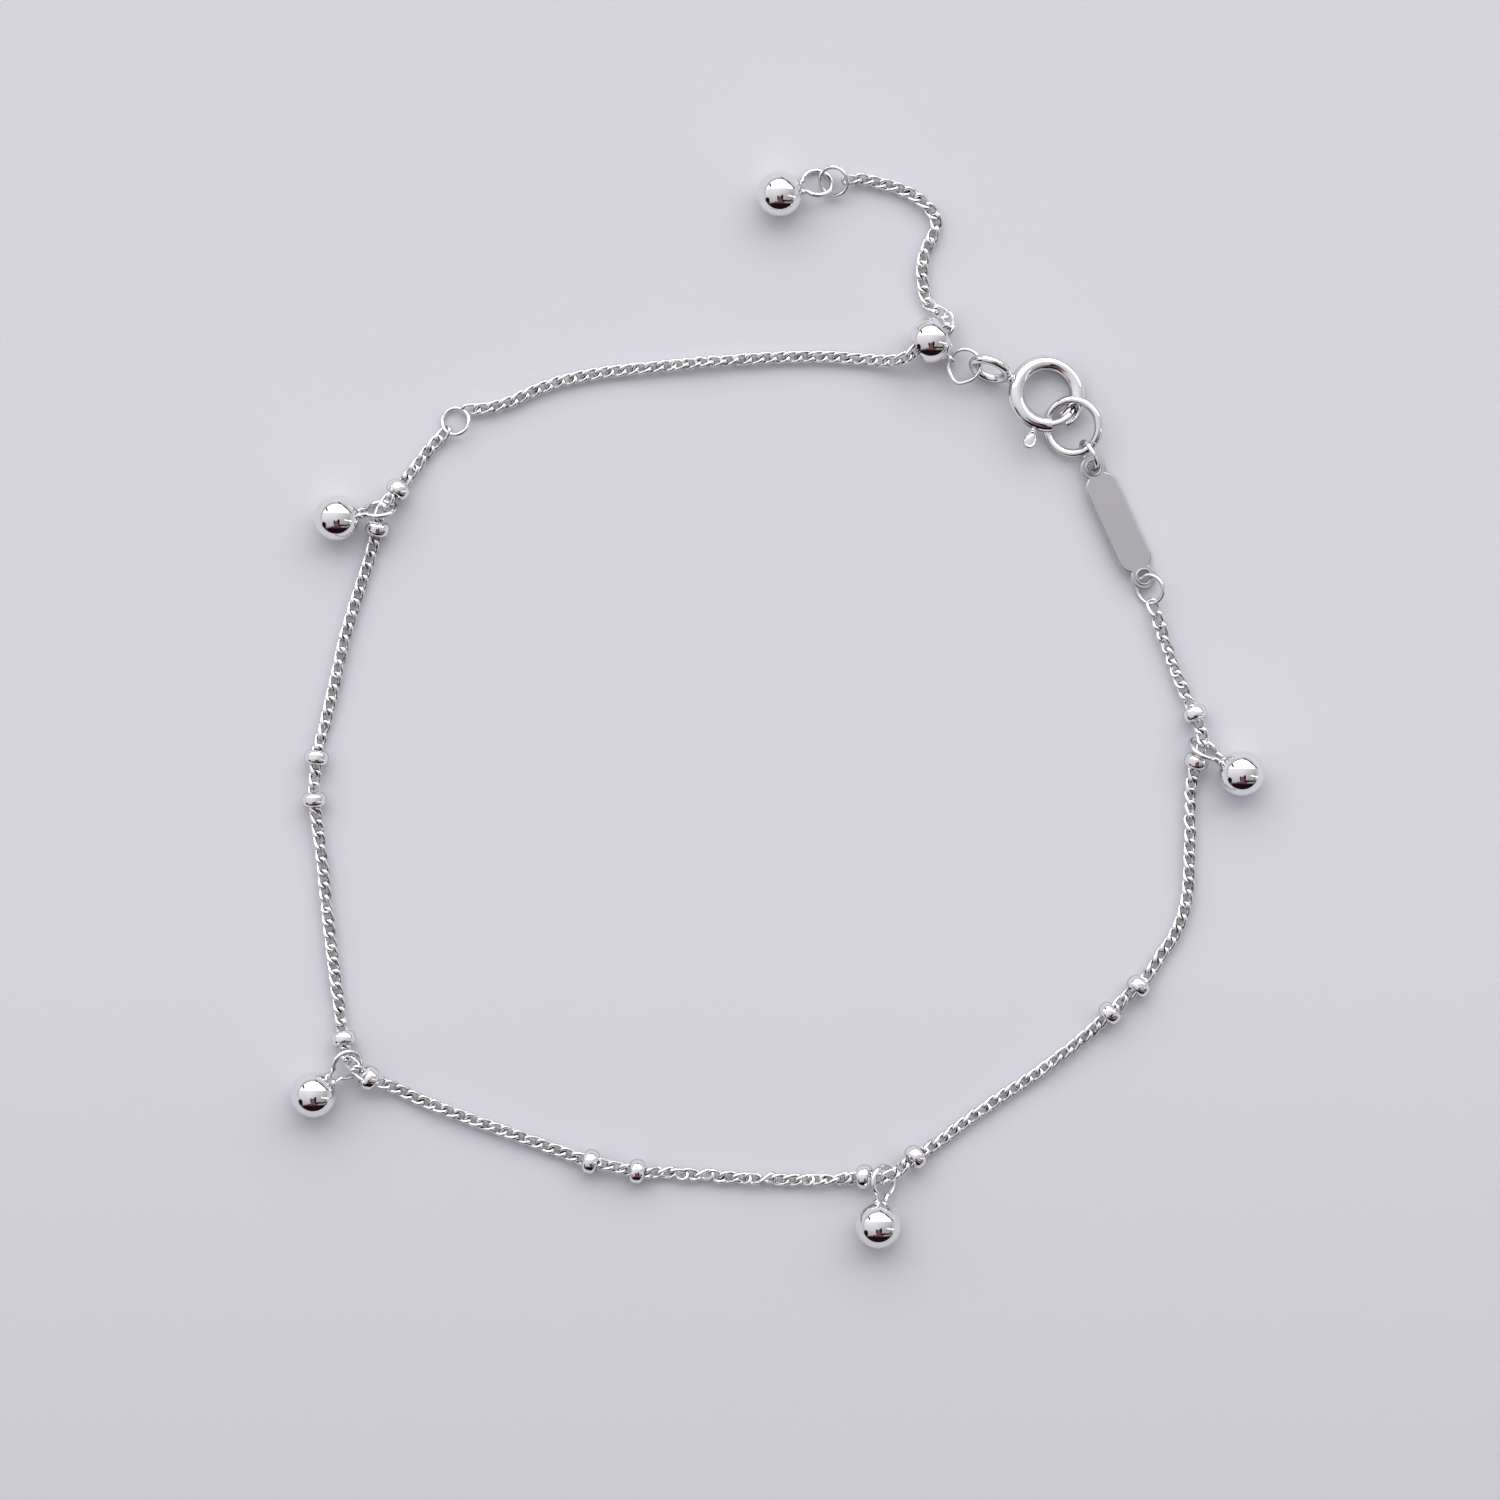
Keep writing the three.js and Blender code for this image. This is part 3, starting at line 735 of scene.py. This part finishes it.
# --- Surface ---------------------------------------------------------------------------------
# A pale matt surface that the bracelet lies on. It is a little greyer toward its near side,
# where less of the light reaches.
SURFACE_FAR = (0.735, 0.735, 0.782)
SURFACE_NEAR = (0.645, 0.642, 0.69)
surface_matt = bpy.data.materials.new("surface_pale")
surface_matt.use_nodes = True
finish = surface_matt.node_tree.nodes["Principled BSDF"]
finish.inputs["Roughness"].default_value = 0.7
start = Value(surface_matt.node_tree)
place = start.node("ShaderNodeTexCoord", output="Object")
farness = start.node("ShaderNodeSeparateXYZ", {}, {0: place}, 1).above(-0.033, 0.05)
farness.mix((*SURFACE_NEAR, 1), (*SURFACE_FAR, 1)).feed(finish.inputs["Base Color"])
shape = bmesh.new()
bmesh.ops.create_grid(shape, x_segments=2, y_segments=2, size=2.0)
surface_mesh = bpy.data.meshes.new("surface")
shape.to_mesh(surface_mesh)
shape.free()
surface_mesh.materials.append(surface_matt)
surface = bpy.data.objects.new("surface", surface_mesh)
bpy.context.scene.collection.objects.link(surface)


# --- Room ------------------------------------------------------------------------------------
# A room by a wide window on the far side. The ceiling is pale, and a figure in dark red leans
# over the near side. It is painted on a round map, straight up in the middle, level at HORIZON.
HORIZON = 0.705
SILL = 0.21
WINDOW = (2.46, 2.46, 2.48)
CEILING = (0.855, 0.838, 0.885)
CEILING_LOW = (0.372, 0.362, 0.372)
WALL = (0.56, 0.54, 0.57)
FIGURE = (0.165, 0.08, 0.087)
SHADE = (0.012, 0.005, 0.008)
GLEAM = (1.9, 1.9, 1.92)
BACKDROP = (0.66, 0.652, 0.71)
WALL_REACH = 0.62
FIGURE_TOP = 0.15
FIGURE_MIDDLE = 0.02
FIGURE_HALF = 0.13
SHOULDER_DEPTH = 0.36
SHOULDER_SPREAD = 3.3
DARK_FROM = 0.43
DARK_EDGE = 0.655
WINDOW_REACH = 0.6
WINDOW_SIDE = 0.73
WINDOW_SLANT = 0.82
FRAME = 0.05
STREAK = ((0.36, -0.1), (0.68, -0.155), 0.035)
CURL = ((-0.43, 0.42), (-0.39, 0.27), 0.085)
GAP = ((0.2, -0.41), (0.42, -0.41), 0.045)
SHADE_BARS = (
    ((-0.08, -0.28), (-0.09, -0.13), 0.06),
    ((0.11, -0.3), (0.12, -0.09), 0.08),
    ((0.1, -0.34), (0.5, -0.34), 0.07),
    ((0.5, -0.36), (0.56, -0.22), 0.06),
)
SHADE_OVALS = (((-0.54, -0.27), (0.085, 0.085)), ((-0.5, -0.37), (0.06, 0.07)))

world = bpy.data.worlds.new("room")
bpy.context.scene.world = world
world.use_nodes = True
room = Value(world.node_tree)
direction = room.node("ShaderNodeTexCoord", output="Generated")
split = room.node("ShaderNodeSeparateXYZ", {}, {0: direction}).output.node
x, y, z = (Value(world.node_tree, split.outputs[i]) for i in range(3))
half = room.math("SQRT", (z + 1.0001) * 2)
u = x / half
v = y / half
reach = room.math("SQRT", u * u + v * v)
above_horizon = 1 - reach.above(HORIZON, 0.02)
ragged = room.node("ShaderNodeTexNoise", {}, {"Vector": direction, "Scale": 7.0, "Detail": 2.0}) - 0.5
ragged_u = u + 0.09 * ragged
ragged_v = v - 0.09 * ragged


def painted(below, mask, colour):
    """The room with one more thing painted on it."""
    return mask.mix(below, (*colour, 1))


def bar(start, end, width, across, along, soft=0.02):
    """1 inside a straight bar of the map, 0 outside it."""
    length = (Vector(end) - Vector(start)).length
    cosine, sine = ((b - a) / length for a, b in zip(start, end))
    far = (across - start[0]) * cosine + (along - start[1]) * sine
    aside = room.math("ABSOLUTE", (along - start[1]) * cosine - (across - start[0]) * sine)
    return (1 - aside.above(width / 2, soft)) * far.above(0.0, soft) * (1 - far.above(length, soft))


def oval(middle, size, soft=0.3):
    across = (ragged_u - middle[0]) / size[0]
    along = (ragged_v - middle[1]) / size[1]
    return 1 - room.math("SQRT", across * across + along * along).above(1.0, soft)


shaded_side = room.math("MAXIMUM", u + 0.1, 0.0)
tone = (v - 0.7 * shaded_side).above(-0.2, 0.65).mix((*CEILING_LOW, 1), (*CEILING, 1))
tone = painted(tone, reach.above(WALL_REACH, 0.02) * above_horizon, WALL)
tone = painted(tone, bar(*STREAK, u, v), GLEAM)

low = 0 - ragged_v
half_width = FIGURE_HALF + SHOULDER_SPREAD * room.math("MAXIMUM", low - SHOULDER_DEPTH, 0.0)
outside = (room.math("ABSOLUTE", ragged_u - FIGURE_MIDDLE) - half_width).above(0.0, 0.03)
figure = (1 - outside) * low.above(FIGURE_TOP, 0.04)
tone = painted(tone, figure * above_horizon, FIGURE)
for shade in SHADE_BARS:
    tone = painted(tone, bar(*shade, ragged_u, ragged_v) * above_horizon, SHADE)
for middle, size in SHADE_OVALS:
    tone = painted(tone, oval(middle, size) * above_horizon, SHADE)
edge = reach.above(DARK_EDGE, 0.02) * low.above(0.3, 0.06)
dark = room.math("MAXIMUM", low.above(DARK_FROM, 0.1), edge)
tone = painted(tone, dark * above_horizon, SHADE)
tone = painted(tone, bar(*GAP, ragged_u, ragged_v), CEILING_LOW)

past_top = reach.above(WINDOW_REACH, 0.01)
past_side = (v + WINDOW_SLANT * u).above(WINDOW_SIDE, 0.01)
tone = painted(tone, (1 - past_top) * (1 - past_side) * v.above(SILL, 0.012), WINDOW)
frame_top = past_top * (1 - reach.above(WINDOW_REACH + FRAME / 2, 0.01)) * v.above(SILL + 0.1, 0.03)
past_frame = (v + WINDOW_SLANT * u).above(WINDOW_SIDE + FRAME, 0.01)
frame_side = past_side * (1 - past_frame) * v.above(SILL, 0.02)
tone = painted(tone, room.math("MAXIMUM", frame_top, frame_side) * above_horizon, SHADE)
tone = painted(tone, bar(*CURL, u, v), SHADE)

seen = room.node("ShaderNodeLightPath", output="Is Camera Ray")
painted(tone, seen, BACKDROP).feed(world.node_tree.nodes["Background"].inputs["Color"])


# --- Camera ----------------------------------------------------------------------------------
# It looks straight down from half a metre, and takes in the whole bracelet with some of the
# surface round it.
CAMERA_HEIGHT = 0.5
VIEW_WIDTH = 98.7 * MM
VIEW_MIDDLE = (-1.81 * MM, -2.89 * MM)
camera_data = bpy.data.cameras.new("camera")
camera_data.sensor_width = 36.0
camera_data.lens = camera_data.sensor_width * CAMERA_HEIGHT / VIEW_WIDTH
camera_data.clip_start = 0.01
camera = bpy.data.objects.new("camera", camera_data)
camera.location = (*VIEW_MIDDLE, CAMERA_HEIGHT)
bpy.context.scene.collection.objects.link(camera)
bpy.context.scene.camera = camera
bpy.context.scene.view_settings.view_transform = "Standard"
